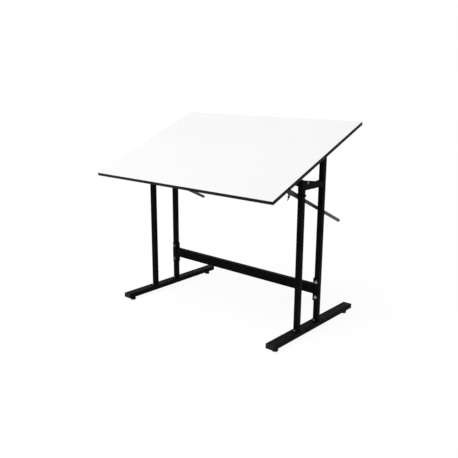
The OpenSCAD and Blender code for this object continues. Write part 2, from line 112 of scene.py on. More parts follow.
def noise(tree, vector, scale, detail=3.0, rough=0.5):
    node = add_node(tree, "ShaderNodeTexNoise", Vector=vector, Scale=scale, Detail=detail, Roughness=rough)
    return node.outputs["Fac"]


def blend_colors(tree, factor, low, high, start=0.3, end=0.7):
    """Colour from low to high as factor goes from start to end."""
    ramp = add_node(tree, "ShaderNodeValToRGB", Fac=factor)
    for stop, place_at, color in zip(ramp.color_ramp.elements, (start, end), (low, high)):
        stop.position = place_at
        stop.color = (*color, 1)
    return ramp.outputs["Color"]


def spread(tree, factor, low, high, start=0.3, end=0.7):
    """A number from low to high as factor goes from start to end."""
    node = add_node(tree, "ShaderNodeMapRange", i0=factor, i1=start, i2=end, i3=low, i4=high)
    return node.outputs["Result"]


def bump(tree, height, distance, strength=1.0, under=None):
    node = add_node(tree, "ShaderNodeBump", Height=height, Distance=distance, Strength=strength)
    if under is not None:
        tree.links.new(under, node.inputs["Normal"])
    return node.outputs["Normal"]


# ---------- materials ----------


def black_shell(name, dark, light, peel_scale, peel_depth, roughness, specular, top_dust_and_light):
    """A black finish: fine surface grain, faint clouding, and a lighter colour on what faces up: a little dust and
    painted top light.
    """
    material, tree, shader = new_material(name, Specular_IOR_Level=specular)
    spot = place(tree)
    cloud = noise(tree, spot, 9, 4.0)
    tint = blend_colors(tree, cloud, dark, light)
    normal = add_node(tree, "ShaderNodeNewGeometry").outputs["Normal"]
    up = add_node(tree, "ShaderNodeSeparateXYZ", Vector=normal)
    # Lighter colour on up-facing surfaces, in noisy patches: partly dust, partly painted light that brightens the
    # tops
    facing_up = spread(tree, up.outputs["Z"], 0.0, top_dust_and_light, 0.5, 1.0)
    dust_and_light_noise = noise(tree, spot, 140, 5.0, 0.7)
    top_dust_and_light_mask = add_node(tree, "ShaderNodeMath", {"operation": "MULTIPLY"}, i0=facing_up, i1=dust_and_light_noise)
    mixed = add_node(tree, "ShaderNodeMixRGB", Fac=top_dust_and_light_mask.outputs["Value"], Color1=tint,
                     Color2=(0.025, 0.025, 0.026, 1))
    tree.links.new(mixed.outputs["Color"], shader.inputs["Base Color"])
    smears = noise(tree, place(tree, (1, 1, 0.25)), 34, 5.0, 0.6)
    tree.links.new(spread(tree, smears, roughness - 0.08, roughness + 0.1), shader.inputs["Roughness"])
    peel = bump(tree, noise(tree, spot, peel_scale, 2.0), peel_depth, 0.7)
    tree.links.new(bump(tree, noise(tree, spot, 55, 3.0), 0.00012, 0.35, peel), shader.inputs["Normal"])
    return material


def edge_band():
    """Black edge band: faint lines along the strip and small knocks."""
    material, tree, shader = new_material("edge_band", Specular_IOR_Level=0.08)
    lines = noise(tree, place(tree, (1, 1, 60), BOARD_TURN), 30, 3.0)
    knocks = spread(tree, noise(tree, place(tree), 75, 4.0, 0.65), 0.0, 1.0, 0.66, 0.74)
    tint = blend_colors(tree, lines, (0.0035, 0.0035, 0.0038), (0.0065, 0.0065, 0.007))
    worn = add_node(tree, "ShaderNodeMixRGB", Fac=knocks, Color1=tint, Color2=(0.018, 0.018, 0.019, 1))
    tree.links.new(worn.outputs["Color"], shader.inputs["Base Color"])
    tree.links.new(spread(tree, noise(tree, place(tree), 40), 0.36, 0.5), shader.inputs["Roughness"])
    tree.links.new(bump(tree, lines, 0.00004, 0.5), shader.inputs["Normal"])
    return material


def white_laminate():
    """Satin melamine: fine pearl texture, the faintest clouding and rubbed patches."""
    material, tree, shader = new_material("white_laminate", Specular_IOR_Level=0.35)
    spot = place(tree)
    pearl = noise(tree, spot, 900, 3.0, 0.6)
    cloud = noise(tree, spot, 3.0, 5.0)
    rubbed = noise(tree, place(tree, (1, 2.5, 1), BOARD_TURN), 7.0, 5.0, 0.6)
    white = blend_colors(tree, cloud, (0.885, 0.887, 0.885), (0.905, 0.905, 0.90))
    tree.links.new(white, shader.inputs["Base Color"])
    tree.links.new(spread(tree, rubbed, 0.40, 0.52), shader.inputs["Roughness"])
    tree.links.new(bump(tree, pearl, 0.00004, 0.4), shader.inputs["Normal"])
    return material


def chipboard():
    """Pressed wood chips."""
    material, tree, shader = new_material("chipboard", Roughness=0.85)
    chips = add_node(tree, "ShaderNodeTexVoronoi", Vector=place(tree, (1, 1, 3)), Scale=260)
    wood = blend_colors(tree, chips.outputs["Color"], (0.22, 0.13, 0.06), (0.55, 0.38, 0.22), 0.1, 0.9)
    tree.links.new(wood, shader.inputs["Base Color"])
    tree.links.new(bump(tree, chips.outputs["Distance"], 0.0003, 0.8), shader.inputs["Normal"])
    return material


def plated_steel(name, dark, light, roughness):
    """Plated steel: cloudy plating, fine scratches and dull spots."""
    material, tree, shader = new_material(name, Metallic=1.0)
    spot = place(tree)
    plating = blend_colors(tree, noise(tree, spot, 180, 5.0, 0.65), dark, light)
    tree.links.new(plating, shader.inputs["Base Color"])
    scratch = noise(tree, place(tree, (1, 14, 5), (0.4, 0.7, 0.2)), 420, 3.0)
    dull = spread(tree, noise(tree, spot, 95, 4.0), 0.0, 0.12, 0.5, 0.7)
    rough = add_node(tree, "ShaderNodeMath", {"operation": "ADD"}, i1=dull,
                     i0=spread(tree, scratch, roughness - 0.07, roughness + 0.1))
    tree.links.new(rough.outputs["Value"], shader.inputs["Roughness"])
    tree.links.new(bump(tree, scratch, 0.00003, 0.5), shader.inputs["Normal"])
    return material


def drawn_steel():
    """Dark grey drawn steel: streaks along the rod, handling marks and bands rubbed round it."""
    material, tree, shader = new_material("rod_grey", Metallic=0.6, Specular_IOR_Level=0.3)
    streaks = noise(tree, place(tree, (1, 0.02, 1), ROD_TURN), 900, 3.0)
    rings = noise(tree, place(tree, (0.05, 1, 0.05), ROD_TURN), 160, 3.0, 0.6)
    marks = noise(tree, place(tree), 26, 5.0, 0.6)
    base = blend_colors(tree, streaks, (0.033, 0.033, 0.0345), (0.054, 0.054, 0.056))
    shade = add_node(tree, "ShaderNodeMixRGB", {"blend_type": "MULTIPLY"}, Fac=0.35, Color1=base,
                     Color2=blend_colors(tree, marks, (0.55, 0.55, 0.55), (1, 1, 1)))
    tree.links.new(shade.outputs["Color"], shader.inputs["Base Color"])
    both = add_node(tree, "ShaderNodeMath", {"operation": "MULTIPLY"}, i0=marks, i1=rings)
    tree.links.new(spread(tree, both.outputs["Value"], 0.34, 0.54, 0.12, 0.4), shader.inputs["Roughness"])
    tree.links.new(bump(tree, streaks, 0.00003, 0.5), shader.inputs["Normal"])
    return material


MATERIALS = {
    # The last number is the share of dust and painted top light on what faces up
    "black_paint": black_shell("black_powder_coat", (0.0018, 0.0018, 0.002), (0.0032, 0.0032, 0.0034),
                               650, 0.00006, 0.58, 0.03, 0.05),
    "black_plastic": black_shell("black_plastic", (0.0045, 0.0045, 0.0048), (0.008, 0.008, 0.0085),
                                 900, 0.00008, 0.55, 0.12, 0.5),
    "edge_band": edge_band(),
    "white_laminate": white_laminate(),
    "chipboard": chipboard(),
    "zinc": plated_steel("zinc", (0.21, 0.214, 0.222), (0.34, 0.344, 0.35), 0.34),
    # A darker copy of zinc: painted shade for bolts that stand in shadow
    "shaded_zinc": plated_steel("shaded_zinc", (0.105, 0.107, 0.111), (0.17, 0.172, 0.175), 0.38),
    "dark_zinc": plated_steel("dark_zinc", (0.055, 0.055, 0.058), (0.1, 0.1, 0.104), 0.4),
    "rod_grey": drawn_steel(),
}


# ---------- mesh helpers ----------

# Sides of round skins, from coarse to fine
SHANK_SIDES = 32
ROUND = 48
HEAD_SIDES = 72


def solids(name, basis):
    """Boxes of a node's separate solids, as (low, high) along the columns of a rotation matrix."""
    mesh = NODES[name].data
    keys = [tuple(round(c, 6) for c in v.co) for v in mesh.vertices]
    parent = {key: key for key in keys}

    def root(key):
        while parent[key] != key:
            parent[key] = parent[parent[key]]
            key = parent[key]
        return key

    for edge in mesh.edges:
        parent[root(keys[edge.vertices[0]])] = root(keys[edge.vertices[1]])
    groups = {}
    turn = basis.transposed()
    for key in set(keys):
        groups.setdefault(root(key), []).append(turn @ Vector(key))
    boxes = []
    for points in groups.values():
        low = Vector([min(p[i] for p in points) for i in range(3)])
        high = Vector([max(p[i] for p in points) for i in range(3)])
        boxes.append((low, high))
    return sorted(boxes, key=lambda box: tuple(round(c, 5) for c in box[0]))


def frame_of(z_axis, x_hint=(1, 0, 0)):
    """A rotation whose Z is z_axis and whose X is as near x_hint as it can be."""
    z = Vector(z_axis).normalized()
    x = Vector(x_hint)
    if abs(x.dot(z)) > 0.9:
        x = Vector((0, 1, 0))
    x = (x - z * x.dot(z)).normalized()
    return Matrix((x, z.cross(x), z)).transposed()


def at(origin, rotation):
    """A 4x4 placement from a point and a rotation."""
    return Matrix.Translation(Vector(origin)) @ rotation.to_4x4()


def stack(bm, placement, rings, segments=ROUND, closed=True):
    """Joins rings (radius or radius by angle, height) into one skin, with flat ends if it is closed."""
    loops = []
    for radius, height in rings:
        loop = []
        for i in range(segments):
            angle = 2 * math.pi * i / segments
            r = radius(angle) if callable(radius) else radius
            point = Vector((r * math.cos(angle), r * math.sin(angle), height))
            loop.append(bm.verts.new(placement @ point))
        loops.append(loop)
    for low, high in zip(loops, loops[1:]):
        for i in range(segments):
            j = (i + 1) % segments
            bm.faces.new((low[i], low[j], high[j], high[i]))
    if closed:
        bm.faces.new(list(reversed(loops[0])))
        bm.faces.new(loops[-1])
    return loops


def bridge_loops(bm, outer, inner):
    """Quads between two loops of the same length."""
    count = len(outer)
    for i in range(count):
        j = (i + 1) % count
        bm.faces.new((outer[i], outer[j], inner[j], inner[i]))


def hex_radius(flats):
    """Radius of a hexagon by angle, with its corners on the X axis."""
    def radius(angle):
        return flats / 2 / math.cos((angle % (math.pi / 3)) - math.pi / 6)
    return radius


def cross_radius(length, half_width):
    """Radius of a cross recess by angle."""
    def radius(angle):
        off = abs((angle + math.pi / 4) % (math.pi / 2) - math.pi / 4)
        return length if math.sin(off) * length < half_width else half_width / math.sin(off)
    return radius


def smaller(first, limit):
    """The smaller of a radius by angle and a number."""
    return lambda angle: min(first(angle), limit)


def corner_radius(flats):
    """Distance of a hexagon's corners from its middle."""
    return flats / 2 / math.cos(math.pi / 6)


def hex_head(bm, placement, flats, height, bore=0.0, both=False):
    """A hexagon head or nut whose end corners are turned off at 30 degrees."""
    body = hex_radius(flats)
    corner = corner_radius(flats)
    turned = flats / 2 * 0.96
    drop = (corner - turned) * math.tan(math.radians(30))
    steps = 4
    rings = []
    if both:
        for i in range(steps + 1):
            limit = turned + (corner - turned) * i / steps
            rings.append((smaller(body, limit), drop * i / steps))
    else:
        rings.append((smaller(body, corner * 0.985), 0.0))
    for i in range(steps, -1, -1):
        limit = turned + (corner - turned) * i / steps
        rings.append((smaller(body, limit), height - drop * i / steps))
    if not bore:
        # a shallow dish in the top of a bolt's head
        rings.append((turned * 0.9, height))
        rings.append((turned * 0.84, height - 0.0002))
        stack(bm, placement, rings, HEAD_SIDES)
        return
    loops = stack(bm, placement, rings, HEAD_SIDES, closed=False)
    sink = bore * 0.12
    hole = [(bore * 1.12, 0.0), (bore, sink), (bore, height - sink), (bore * 1.12, height)]
    inside = stack(bm, placement, hole, HEAD_SIDES, closed=False)
    bridge_loops(bm, loops[-1], inside[-1])
    bridge_loops(bm, inside[0], loops[0])


def threaded(bm, placement, radius, pitch, length, segments=24):
    """A thread with a chamfered end; it starts at height 0."""
    depth = pitch * 0.5
    count = max(4, int(length / pitch * 6))
    rings = []
    for k in range(count + 1):
        height = length * k / count
        end_cut = max(0.0, (height - (length - pitch)) / pitch) * depth

        def ring(angle, height=height, end_cut=end_cut):
            phase = (height / pitch - angle / (2 * math.pi)) % 1.0
            return radius - depth * abs(2 * phase - 1) ** 1.2 - end_cut
        rings.append((ring, height))
    rings.append((radius * 0.62, length))
    stack(bm, placement, rings, segments)


def plain_ring(bm, placement, inner, outer, height, edge=0.00025):
    """A washer or collar with broken edges."""
    rings = [(inner, edge), (inner + edge, 0), (outer - edge, 0), (outer, edge),
             (outer, height - edge), (outer - edge, height), (inner + edge, height), (inner, height - edge)]
    loops = stack(bm, placement, rings, ROUND, closed=False)
    bridge_loops(bm, loops[-1], loops[0])


def bead(bm, points, normal, size, step=0.0012, closed=False, wobble=0.18):
    """A weld bead: overlapping scales along a line, half sunk in the corner that it fills."""
    normal = Vector(normal).normalized()
    path = [Vector(p) for p in points]
    if closed:
        path.append(path[0])
    spots = []
    for a, b in zip(path, path[1:]):
        count = max(2, int((b - a).length / step))
        for i in range(count):
            spots.append((a.lerp(b, i / count), (b - a).normalized()))
    if not closed:
        spots.append((path[-1], (path[-1] - path[-2]).normalized()))
    loops = []
    sides = 8
    total = len(spots)
    for k, (spot, along) in enumerate(spots):
        scale = 1 - wobble * abs(math.sin(k * 0.72)) + 0.06 * math.sin(k * 0.31 + 1.3)
        if not closed:
            scale *= min(1.0, 0.45 + 0.22 * min(k, total - 1 - k))
        side = along.cross(normal)
        if side.length < 0.2:
            side = along.orthogonal()
        side.normalize()
        out = side.cross(along).normalized()
        loop = []
        for i in range(sides):
            angle = 2 * math.pi * i / sides
            round_the_line = side * math.cos(angle) + out * math.sin(angle)
            loop.append(bm.verts.new(spot + round_the_line * size * scale))
        loops.append(loop)
    for low, high in zip(loops, loops[1:] + loops[:1] if closed else loops[1:]):
        bridge_loops(bm, low, high)
    if not closed:
        bm.faces.new(list(reversed(loops[0])))
        bm.faces.new(loops[-1])


def piece(name, bm, body, slot, replaces=(), smooth=35, finish=None):
    """Makes the mesh a piece that rides on a body, with its slot's material unless a finish is named."""
    bmesh.ops.recalc_face_normals(bm, faces=bm.faces)
    mesh = bpy.data.meshes.new(name)
    bm.to_mesh(mesh)
    bm.free()
    mesh.materials.append(MATERIALS[finish or slot])
    mesh.shade_smooth()
    mesh.set_sharp_from_angle(angle=math.radians(smooth))
    obj = bpy.data.objects.new(name, mesh)
    bpy.context.scene.collection.objects.link(obj)
    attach(obj, body)
    if replaces:
        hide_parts(*replaces)


# ---------- bolts, nuts and screws ----------

# Threads, as (radius, pitch)
M6, M8, M10 = (0.003, 0.001), (0.004, 0.00125), (0.005, 0.0015)
# Hexagon heads, as (distance across flats, height)
HEAD_M6, HEAD_M8, HEAD_M10 = (0.010, 0.004), (0.013, 0.0053), (0.016, 0.0064)
LOW_HEAD_M8 = (0.013, 0.0045)
# Flange under the head of a beam bolt, as (radius, thickness)
BOLT_FLANGE = (0.0085, 0.0016)
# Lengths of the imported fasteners, by which places() tells a node's solids apart
ARM_BOLT = POST_WIDTH + 0.0183
ARM_NUT = 0.0065
ARM_FLANGE_BOLT = POST_WIDTH + 0.02
ARM_FLANGE_NUT = 0.005
BEAM_BOLT = POST_WIDTH + 0.0171
BEAM_NUT = 0.0065
BASE_SCREW = 0.0168
BOARD_SCREW = 0.0055
PIVOT_BOLT = POST_WIDTH + 0.0276
PIVOT_NUT = 0.0085
STRUT_PIN = 0.0287
STRUT_NUT = 0.007
LENGTH_SLACK = 0.0004
# Height of a lock nut's insert above its hexagon
INSERT = 0.002
# A little overlap, so that no gap opens between two skins
OVERLAP = 0.0001


def outwards(side):
    """Away from the middle on that side."""
    return Vector((side, 0, 0))


def places(node, axis, length, side=0):
    """Where a node's solids of that length stand along an axis: (placement at height 0, low, high)."""
    basis = frame_of(axis)
    found = []
    for low, high in solids(node, basis):
        center = basis @ ((low + high) / 2)
        if abs(high.z - low.z - length) < LENGTH_SLACK and center.x * side >= 0:
            foot = basis @ Vector(((low.x + high.x) / 2, (low.y + high.y) / 2, 0))
            found.append((at(foot, basis), low.z, high.z))
    return found


def lift(placement, height):
    """The placement moved along its own Z."""
    return placement @ Matrix.Translation((0, 0, height))


def add_bolt(bm, placement, low, high, flats, head, size, thread, flange=None):
    """A hexagon bolt: head at the top, thread at the bottom."""
    radius, pitch = size
    seat = high - head
    hex_head(bm, lift(placement, seat), flats, head)
    if flange:
        flange_r, flange_t = flange
        stack(bm, placement, [(flange_r - 0.0003, seat - flange_t), (flange_r, seat - flange_t + 0.0004),
                              (flange_r, seat - flange_t * 0.6), (flange_r * 0.9, seat - flange_t * 0.2),
                              (flats * 0.47, seat + 0.0006)])
        seat -= flange_t
    stack(bm, placement, [(radius, low + thread - OVERLAP), (radius, seat + OVERLAP)], SHANK_SIDES)
    turned = lift(placement, low + thread) @ Matrix.Rotation(math.pi, 4, "X")
    threaded(bm, turned, radius, pitch, thread)


def add_nut(bm, placement, low, high, flats, bore):
    """A hexagon nut with both ends turned off."""
    hex_head(bm, lift(placement, low), flats, high - low, bore, both=True)


def add_dome_screw(bm, placement, low, high, head_r, head, radius, recess):
    """A round-head screw; recess is the radius by angle of the socket in its head."""
    seat = high - head
    rings = [(head_r * 0.93, seat), (head_r, seat + head * 0.12)]
    for i in range(1, 7):
        angle = math.radians(13 * i)
        rings.append((head_r * math.cos(angle) ** 0.8, seat + head * (0.12 + 0.86 * math.sin(angle))))
    outer = stack(bm, placement, rings, HEAD_SIDES, closed=False)
    socket = [(recess, high - head * 0.02), (recess, high - head * 0.62)]
    mouth = stack(bm, placement, socket, HEAD_SIDES, closed=False)
    bridge_loops(bm, outer[-1], mouth[0])
    bm.faces.new(mouth[-1])
    bm.faces.new(list(reversed(outer[0])))
    stack(bm, placement, [(radius, low), (radius, seat + OVERLAP)], SHANK_SIDES)


def make_arm_fasteners():
    """Bolts and nuts that hold the top rail to the arms, and the arms to the rear posts."""
    flats, head = HEAD_M8
    bm = bmesh.new()
    for side in SIDES.values():
        for put, low, high in places("arm_bolts", outwards(side), ARM_BOLT, side):
            add_bolt(bm, put, low, high, flats, head, M8, 0.014)
            plain_ring(bm, lift(put, high - head - 0.00002), 0.0042, 0.0079, 0.0012)
    for put, low, high in places("arm_bolts", TO_BACK, ARM_FLANGE_BOLT):
        add_bolt(bm, put, low, high, *HEAD_M6, M6, 0.014)
    # The arm bolts get the darker zinc, painted shade; their nuts stay plain zinc
    piece("arm_bolt_set", bm, "frame", "zinc", ["arm_bolts"], finish="shaded_zinc")

    bm = bmesh.new()
    for side in SIDES.values():
        for put, low, high in places("arm_nuts", outwards(-side), ARM_NUT, side):
            add_nut(bm, put, low, high, flats, M8[0])
    for put, low, high in places("arm_nuts", TO_FRONT, ARM_FLANGE_NUT):
        add_nut(bm, put, low, high, HEAD_M6[0], M6[0])
    piece("arm_nut_set", bm, "frame", "zinc", ["arm_nuts"])


def make_beam_fasteners():
    """Flange bolts through the beam's brackets and the rear posts, with their nuts."""
    # The left bolts get the darker zinc, painted shade for the side in shadow; the right ones plain zinc
    for name, finish in (("left", "shaded_zinc"), ("right", "zinc")):
        bm = bmesh.new()
        for put, low, high in places("beam_bolts", TO_FRONT, BEAM_BOLT, SIDES[name]):
            add_bolt(bm, put, low, high, *LOW_HEAD_M8, M8, 0.018, BOLT_FLANGE)
        piece("beam_bolts_%s_set" % name, bm, "frame", "zinc", ["beam_bolts"], finish=finish)

    bm = bmesh.new()
    for put, low, high in places("beam_nuts", TO_BACK, BEAM_NUT):
        add_nut(bm, put, low, high, HEAD_M8[0], M8[0])
    piece("beam_nut_set", bm, "frame", "zinc", ["beam_nuts"])


def make_screws():
    """Socket screws at the feet of the posts, and cross-head screws under the worktop."""
    bm = bmesh.new()
    for put, low, high in places("base_screws", UP, BASE_SCREW):
        add_dome_screw(bm, put, low, high, 0.0055, 0.0028, 0.0025, hex_radius(0.003))
    piece("base_screw_set", bm, "frame", "zinc", ["base_screws"])

    bm = bmesh.new()
    for put, low, high in places("board_screws", -board_up, BOARD_SCREW):
        add_dome_screw(bm, put, low, high, 0.0045, 0.0025, 0.00225, cross_radius(0.0026, 0.0005))
    piece("board_screw_set", bm, "board", "zinc", ["board_screws"])


def make_pivot_fasteners():
    """Bolts and lock nuts of the worktop's pivots and of the rods' front pins."""
    for node, length, hexagon, size, thread in (("pivot_bolts", PIVOT_BOLT, HEAD_M10, M10, 0.016),
                                                ("strut_pins", STRUT_PIN, HEAD_M8, M8, 0.013)):
        bm = bmesh.new()
        for side in SIDES.values():
            for put, low, high in places(node, outwards(side), length, side):
                add_bolt(bm, put, low, high, *hexagon, size, thread)
        piece(node[:-1] + "_set", bm, "board", "zinc", [node])
    for node, length, flats, bore in (("pivot_nuts", PIVOT_NUT, HEAD_M10[0], M10[0]),
                                      ("strut_nuts", STRUT_NUT, HEAD_M8[0], M8[0])):
        bm = bmesh.new()
        for side in SIDES.values():
            for put, low, high in places(node, outwards(-side), length, side):
                add_nut(bm, put, low, high - INSERT, flats, bore)
                insert = lift(put, high - INSERT - OVERLAP)
                plain_ring(bm, insert, bore, flats * 0.44, INSERT, 0.0004)
        piece(node[:-1] + "_set", bm, "board", "zinc", [node])


def make_swivel_nuts():
    """Black cap nuts on the sleeves' swivel studs."""
    flats = HEAD_M8[0]
    body = hex_radius(flats)
    full = smaller(body, corner_radius(flats))
    for name, side in SIDES.items():
        node = "swivel_nut_" + name
        low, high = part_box(node)
        center = (Vector(low) + Vector(high)) / 2
        inner = min(abs(low[0]), abs(high[0]))
        put = at((side * inner, center.y, center.z), frame_of(outwards(side), rod_back))
        bm = bmesh.new()
        rings = [(smaller(body, 0.0068), 0.0), (full, 0.0005), (full, 0.0052),
                 (smaller(body, 0.0067), 0.0057)]
        for i in range(7):
            angle = math.radians(15 * i)
            rings.append((0.0056 * math.cos(angle) + 0.0003, 0.0059 + 0.0041 * math.sin(angle)))
        stack(bm, put, rings, HEAD_SIDES)
        piece("swivel_cap_nut_" + name, bm, "sleeve_" + name, "black_paint", [node])


RIBS = 24
LEVELLER_TOP = 0.019


def make_levellers():
    """Ribbed plastic feet with a hexagon above, on threaded stems."""
    for name in [n for n in NODES if n.startswith("leveller_") and n != "leveller_nuts"]:
        low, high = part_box(name)
        center = (Vector(low) + Vector(high)) / 2
        put = at((center.x, center.y, 0), frame_of(UP))
        outer = (high[0] - low[0]) / 2

        def rib(scale, depth=0.0006):
            return lambda angle: outer * scale - depth * (0.5 - 0.5 * math.cos(angle * RIBS)) ** 2

        shallow = rib(0.985, 0.0003)
        full = rib(1.0)
        collar = hex_radius(0.0165)
        bm = bmesh.new()
        rings = [(outer * 0.55, 0.0008), (outer * 0.62, 0.0), (outer * 0.90, 0.0), (outer * 0.95, 0.0006),
                 (shallow, 0.0014), (full, 0.0022), (full, 0.0078), (shallow, 0.0088),
                 (outer * 0.93, 0.0098), (outer * 0.80, 0.0112), (outer * 0.70, 0.0118)]
        stack(bm, put, rings, 6 * RIBS)
        stack(bm, put, [(collar, 0.0113), (collar, LEVELLER_TOP), (0.0080, 0.0197)], HEAD_SIDES)
        threaded(bm, lift(put, LEVELLER_TOP), *M8, high[2] - LEVELLER_TOP)
        body = "foot_" + name[len("leveller_"):]
        piece(name + "_foot", bm, body, "black_plastic", [name])


def smooth_cast(bm, voxel, keep):
    """The mesh as one rounded casting: voxel remesh, smoothing, then fewer faces."""
    mesh = bpy.data.meshes.new("rough")
    bm.to_mesh(mesh)
    bm.free()
    rough = bpy.data.objects.new("rough", mesh)
    bpy.context.scene.collection.objects.link(rough)
    remesh = rough.modifiers.new("remesh", "REMESH")
    remesh.mode = "VOXEL"
    remesh.voxel_size = voxel
    even = rough.modifiers.new("even", "SMOOTH")
    even.factor = 0.6
    even.iterations = 6
    fewer = rough.modifiers.new("fewer", "DECIMATE")
    fewer.ratio = keep
    shaped = bpy.data.meshes.new_from_object(rough.evaluated_get(bpy.context.evaluated_depsgraph_get()))
    result = bmesh.new()
    result.from_mesh(shaped)
    bpy.data.objects.remove(rough)
    bpy.data.meshes.remove(mesh)
    bpy.data.meshes.remove(shaped)
    return result


WING_TURN = math.radians(-50)
# From the underside of a wing screw's hub to the tips of its wings
WING_HEIGHT = 0.015
# Round tip of a wing: its middle, out and up from the hub's underside, and its radius
WING_TIP = 0.0155
WING_TIP_R = 0.0043
WING_HALF_T = 0.0012
WING_HUB = [(0.0064, 0.0), (0.0068, 0.0006), (0.0066, 0.002), (0.0056, 0.0066), (0.0050, 0.0078),
            (0.0034, 0.0083)]


def wing_outline():
    """One wing from the hub round its tip and back, as (out, up)."""
    points = [(0.003, 0.0003), (0.0066, 0.0003)]
    for i in range(13):
        angle = math.radians(-30 + 15 * i)
        points.append((WING_TIP + WING_TIP_R * math.cos(angle), WING_TIP + WING_TIP_R * math.sin(angle)))
    points.append((0.003, 0.0072))
    return points


def make_wing_screws():
    """Cast wing screws: a hub, two rounded wings with thicker rims, and a threaded stem."""
    points = wing_outline()
    for name, side in SIDES.items():
        node = "wing_screw_" + name
        joint = JOINTS["wing_%s_turn" % name]
        axis = Vector(joint["axis"])
        basis = frame_of(axis)
        low, high = solids(node, basis)[0]
        along = Vector((side * math.cos(WING_TURN), 0, 0)) + rod_back * math.sin(WING_TURN)
        center = Vector(joint["pos_m"])
        center -= axis * center.dot(axis)
        put = at(center, frame_of(axis, along))
        seat = high.z - WING_HEIGHT
        bm = bmesh.new()
        stack(bm, lift(put, seat), WING_HUB, SHANK_SIDES)
        for turn in (0, math.pi):
            wing = lift(put, seat) @ Matrix.Rotation(turn, 4, "Z")
            faces = []
            for half in (-WING_HALF_T, WING_HALF_T):
                faces.append([bm.verts.new(wing @ Vector((x, half, z))) for x, z in points])
            bm.faces.new(faces[0])
            bm.faces.new(list(reversed(faces[1])))
            bridge_loops(bm, faces[0], faces[1])
            rim = [wing @ Vector((x, 0, z)) for x, z in points[1:-1]]
            bead(bm, rim, wing.to_3x3() @ Vector((0, 1, 0)), 0.0015, 0.0008, wobble=0.0)
        cast = smooth_cast(bm, 0.00045, 0.3)
        root = seat + 0.001
        threaded(cast, lift(put, root) @ Matrix.Rotation(math.pi, 4, "X"), *M8, root - low.z)
        piece("wing_screw_%s_cast" % name, cast, "wing_" + name, "dark_zinc", [node], 60)


ROD_RADIUS = 0.009
GRUB_SIDES = 36


def make_stop_collars():
    """Set collars on the rods, each with a socket grub screw."""
    basis = frame_of(rod_back)
    key = hex_radius(0.0025)
    for name, side in SIDES.items():
        node = "stop_collar_" + name
        low, high = solids(node, basis)[0]
        foot = basis @ Vector(((low.x + high.x) / 2, (low.y + high.y) / 2, 0))
        outer = (high.x - low.x) / 2
        put = lift(at(foot, basis), low.z)
        bm = bmesh.new()
        plain_ring(bm, put, ROD_RADIUS, outer, high.z - low.z, 0.0009)
        across = (rod_up * -0.5 + outwards(side) * 0.85).normalized()
        spot = foot + rod_back * (low.z + high.z) / 2 + across * (outer - 0.0012)
        grub = at(spot, frame_of(across, rod_back))
        rings = [(0.0024, -0.001), (0.0024, 0.0011), (0.0021, 0.0014)]
        outside = stack(bm, grub, rings, GRUB_SIDES, closed=False)
        mouth = stack(bm, grub, [(key, 0.0014), (key, -0.0002)], GRUB_SIDES, closed=False)
        bridge_loops(bm, outside[-1], mouth[0])
        bm.faces.new(mouth[-1])
        bm.faces.new(list(reversed(outside[0])))
        piece("stop_collar_%s_turned" % name, bm, "rod_" + name, "zinc", [node])


# ---------- welds ----------

def rectangle(center, u, v, half_u, half_v, rounding=0.002):
    """Corner-rounded path round a rectangle."""
    path = []
    for k, (su, sv) in enumerate(((1, 1), (-1, 1), (-1, -1), (1, -1))):
        for i in range(4):
            angle = math.radians(90 * k + 30 * i)
            path.append(center + u * (su * (half_u - rounding) + rounding * math.cos(angle))
                        + v * (sv * (half_v - rounding) + rounding * math.sin(angle)))
    return path


RAIL_HALF = 0.015
ARM_SOCKET = 0.022


def make_frame_welds():
    """Welds of the beam, top rail, arms and posts."""
    bm = bmesh.new()
    beam_low, beam_high = (Vector(c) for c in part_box("lower_beam"))
    beam_mid = (beam_low + beam_high) / 2
    beam_half = (beam_high - beam_low) / 2
    rail_low, rail_high = (Vector(c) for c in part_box("top_rail"))
    for name, side in SIDES.items():
        arm_low, arm_high = (Vector(c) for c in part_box("arm_" + name))
        post_low, post_high = (Vector(c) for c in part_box("front_post_" + name))
        # beam to its bracket
        end = Vector((side * (beam_high.x - 0.0003), beam_mid.y, beam_mid.z))
        bead(bm, rectangle(end, TO_BACK, UP, beam_half.y, beam_half.z), X_AXIS, 0.0019, closed=True)
        # rail to its end plate
        end = Vector((side * (rail_high.x - 0.0042), rail_low.y + POST_HALF, rail_high.z - RAIL_HALF))
        bead(bm, rectangle(end, TO_BACK, UP, POST_HALF, RAIL_HALF), X_AXIS, 0.0017, closed=True)
        # arm to its front post, flush seams
        x0, x1 = arm_low.x, arm_high.x
        seam = post_high.z
        y0, y1 = post_low.y, post_high.y
        middle = Vector(((x0 + x1) / 2, (y0 + y1) / 2, seam))
        seam_line = rectangle(middle, X_AXIS, TO_BACK, (x1 - x0) / 2, (y1 - y0) / 2)
        bead(bm, seam_line, UP, 0.0011, closed=True)
        # arm to the socket at its rear end
        y_end = arm_high.y - ARM_SOCKET
        for height in (0.0005, 0.0262):
            ends = [(x, y_end, seam + height) for x in (x0 + 0.002, x1 - 0.002)]
            bead(bm, ends, UP, 0.0016)
        for x in (x0, x1):
            bead(bm, [(x, y_end, seam + 0.001), (x, y_end, seam + 0.026)], TO_FRONT, 0.0007)
        # post to its base plate
        for post in ("front_post_", "rear_post_"):
            low, high = (Vector(c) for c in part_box(post + name))
            foot = Vector(((low.x + high.x) / 2, (low.y + high.y) / 2, low.z))
            ends = [foot + Vector((s * (POST_HALF - 0.001), -POST_HALF, 0.0004)) for s in (-1, 1)]
            bead(bm, ends, UP, 0.0014)
    piece("frame_welds", bm, "frame", "black_paint", smooth=70)


